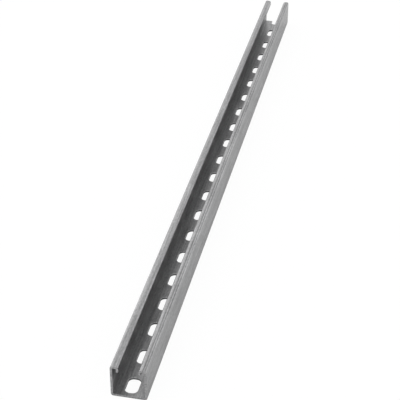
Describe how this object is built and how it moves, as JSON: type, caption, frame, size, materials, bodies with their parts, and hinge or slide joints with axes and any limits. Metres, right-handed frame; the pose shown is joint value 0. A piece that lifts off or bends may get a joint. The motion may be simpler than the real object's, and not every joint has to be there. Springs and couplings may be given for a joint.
{
  "type": "slotted strut channel",
  "caption": "Galvanised steel strut channel, square section with inturned lips and a row of bolt slots along its back, for pipe, cable and equipment supports.",
  "frame": {"origin": "middle of the channel's footprint, on the level that its slotted back rests on", "axes": "+Y along the channel, towards the end that is cut through a slot; +X across its width; +Z from the slotted back to the open side"},
  "size_m": [0.0412, 1.0196, 0.0413],
  "materials": {
    "galvanised_steel": "mill galvanised, dull satin with fine drawn streaks along the length"
  },
  "bodies": {
    "root": {"strut_channel": "galvanised_steel"}
  },
  "joints": []
}
